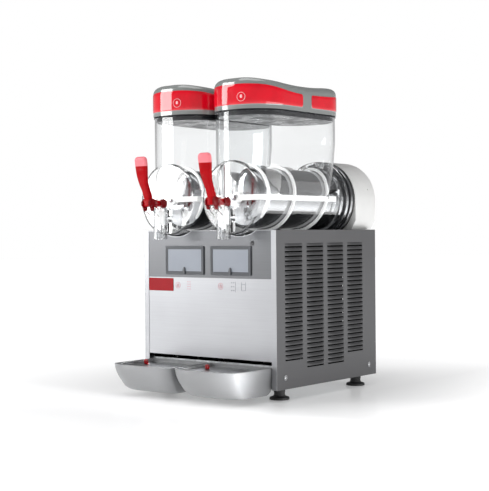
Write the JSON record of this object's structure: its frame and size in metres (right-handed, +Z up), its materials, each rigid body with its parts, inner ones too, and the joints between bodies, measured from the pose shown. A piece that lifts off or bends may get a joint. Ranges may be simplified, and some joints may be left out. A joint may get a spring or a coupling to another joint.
{
  "type": "slush machine",
  "caption": "Countertop slush machine: louvred steel casing, clear bowls with augers, wavy lids with red bands, pull taps and drip trays.",
  "frame": {"origin": "on the worktop, under the middle of the machine's bounding box", "axes": "+Z up, -Y towards the person at the taps, +X to that person's right"},
  "size_m": [0.3654, 0.5134, 0.6536],
  "materials": {
    "satin_steel": "satin stainless sheet, brushed",
    "side_steel": "darker satin stainless sheet",
    "polished_steel": "polished stainless",
    "galvanised_sheet": "galvanised sheet",
    "clear_plastic": "clear moulded polycarbonate",
    "translucent_red": "glossy translucent red",
    "red_band": "glossy red strip",
    "grey_lid_plastic": "semi-gloss grey moulding",
    "dark_plastic": "matt dark plastic",
    "white_plastic": "off-white moulding",
    "grey_tray_plastic": "grey moulding",
    "black_rubber": "black rubber",
    "label_frame_grey": "dark grey plastic frame",
    "label_card": "pale card behind a clear window",
    "black_paint": "black painted steel",
    "condenser_fins": "bare aluminium fins"
  },
  "bodies": {
    "casing": {"base_pan": "galvanised_sheet", "left_side_panel": "side_steel", "right_side_panel": "side_steel", "rear_panel": "side_steel", "top_deck": "satin_steel", "lower_front_panel": "satin_steel", "upper_front_panel": "satin_steel", "label_frame_left": "label_frame_grey", "label_frame_right": "label_frame_grey", "label_card_left": "label_card", "label_card_right": "label_card", "foot_front_left": "black_rubber", "foot_front_right": "black_rubber", "foot_rear_left": "black_rubber", "foot_rear_right": "black_rubber", "side_screw_front_left": "polished_steel", "side_screw_front_right": "polished_steel", "side_screw_rear_left": "polished_steel", "side_screw_rear_right": "polished_steel", "panel_screw": "polished_steel", "compressor": "black_paint", "condenser": "condenser_fins", "fan_motor": "black_paint", "control_box": "dark_plastic", "power_inlet": "black_rubber", "evaporator_left": "polished_steel", "bowl_seal_left": "black_rubber", "rear_cover_left": "white_plastic", "gearmotor_left": "black_paint", "evaporator_right": "polished_steel", "bowl_seal_right": "black_rubber", "rear_cover_right": "white_plastic", "gearmotor_right": "black_paint"},
    "fan": {"fan_blade": "dark_plastic"},
    "auger_left": {"auger_left": "white_plastic", "drive_shaft_left": "polished_steel"},
    "bowl_left": {"bowl_left": "clear_plastic", "tap_pin_left": "polished_steel"},
    "tap_handle_left": {"tap_handle_left": "translucent_red"},
    "tap_plunger_left": {"tap_plunger_left": "translucent_red"},
    "lid_left": {"lid_left": "grey_lid_plastic", "lid_band_left": "red_band", "lid_badge_left": "red_band", "lid_liner_left": "dark_plastic"},
    "drip_tray_left": {"drip_tray_left": "grey_tray_plastic"},
    "tray_grille_left": {"tray_grille_left": "satin_steel"},
    "tray_float_left": {"tray_float_left": "translucent_red"},
    "auger_right": {"auger_right": "white_plastic", "drive_shaft_right": "polished_steel"},
    "bowl_right": {"bowl_right": "clear_plastic", "tap_pin_right": "polished_steel"},
    "tap_handle_right": {"tap_handle_right": "translucent_red"},
    "tap_plunger_right": {"tap_plunger_right": "translucent_red"},
    "lid_right": {"lid_right": "grey_lid_plastic", "lid_band_right": "red_band", "lid_badge_right": "red_band", "lid_liner_right": "dark_plastic"},
    "drip_tray_right": {"drip_tray_right": "grey_tray_plastic"},
    "tray_grille_right": {"tray_grille_right": "satin_steel"},
    "tray_float_right": {"tray_float_right": "translucent_red"}
  },
  "joints": [
    {"name": "fan_spin", "type": "hinge", "parent": "casing", "child": "fan", "pos_m": [0.088, 0.04775, 0.165], "axis": [1, 0, 0], "continuous": true},
    {"name": "auger_left_spin", "type": "hinge", "parent": "casing", "child": "auger_left", "pos_m": [-0.0864, -0.01225, 0.4105], "axis": [0, 1, 0], "continuous": true},
    {"name": "bowl_left_slide", "type": "slide", "parent": "casing", "child": "bowl_left", "axis": [0, -1, 0], "range_m": [0, 0.25]},
    {"name": "tap_left_pull", "type": "hinge", "parent": "bowl_left", "child": "tap_handle_left", "pos_m": [-0.0864, -0.21825, 0.401], "axis": [1, 0, 0], "range_deg": [0, 25], "stiffness_Nm_per_rad": 0.4, "springref_deg": -20.05},
    {"name": "tap_left_lift", "type": "slide", "parent": "bowl_left", "child": "tap_plunger_left", "axis": [0, 0, 1], "range_m": [0, 0.017]},
    {"name": "lid_left_lift", "type": "slide", "parent": "bowl_left", "child": "lid_left", "axis": [0, 0, 1], "range_m": [0, 0.1]},
    {"name": "tray_left_slide", "type": "slide", "parent": "casing", "child": "drip_tray_left", "axis": [0, -1, 0], "range_m": [0, 0.05]},
    {"name": "grille_left_lift", "type": "slide", "parent": "drip_tray_left", "child": "tray_grille_left", "axis": [0, 0, 1], "range_m": [0, 0.016]},
    {"name": "float_left_rise", "type": "slide", "parent": "drip_tray_left", "child": "tray_float_left", "axis": [0, 0, 1], "range_m": [0, 0.008]},
    {"name": "auger_right_spin", "type": "hinge", "parent": "casing", "child": "auger_right", "pos_m": [0.0864, -0.01225, 0.4105], "axis": [0, 1, 0], "continuous": true},
    {"name": "bowl_right_slide", "type": "slide", "parent": "casing", "child": "bowl_right", "axis": [0, -1, 0], "range_m": [0, 0.25]},
    {"name": "tap_right_pull", "type": "hinge", "parent": "bowl_right", "child": "tap_handle_right", "pos_m": [0.0864, -0.21825, 0.401], "axis": [1, 0, 0], "range_deg": [0, 25], "stiffness_Nm_per_rad": 0.4, "springref_deg": -20.05},
    {"name": "tap_right_lift", "type": "slide", "parent": "bowl_right", "child": "tap_plunger_right", "axis": [0, 0, 1], "range_m": [0, 0.017]},
    {"name": "lid_right_lift", "type": "slide", "parent": "bowl_right", "child": "lid_right", "axis": [0, 0, 1], "range_m": [0, 0.1]},
    {"name": "tray_right_slide", "type": "slide", "parent": "casing", "child": "drip_tray_right", "axis": [0, -1, 0], "range_m": [0, 0.05]},
    {"name": "grille_right_lift", "type": "slide", "parent": "drip_tray_right", "child": "tray_grille_right", "axis": [0, 0, 1], "range_m": [0, 0.016]},
    {"name": "float_right_rise", "type": "slide", "parent": "drip_tray_right", "child": "tray_float_right", "axis": [0, 0, 1], "range_m": [0, 0.008]}
  ],
  "couplings": [
    {"joint": "tap_left_lift", "follows": "tap_left_pull", "m_per_rad": 0.0385},
    {"joint": "tap_right_lift", "follows": "tap_right_pull", "m_per_rad": 0.0385}
  ]
}
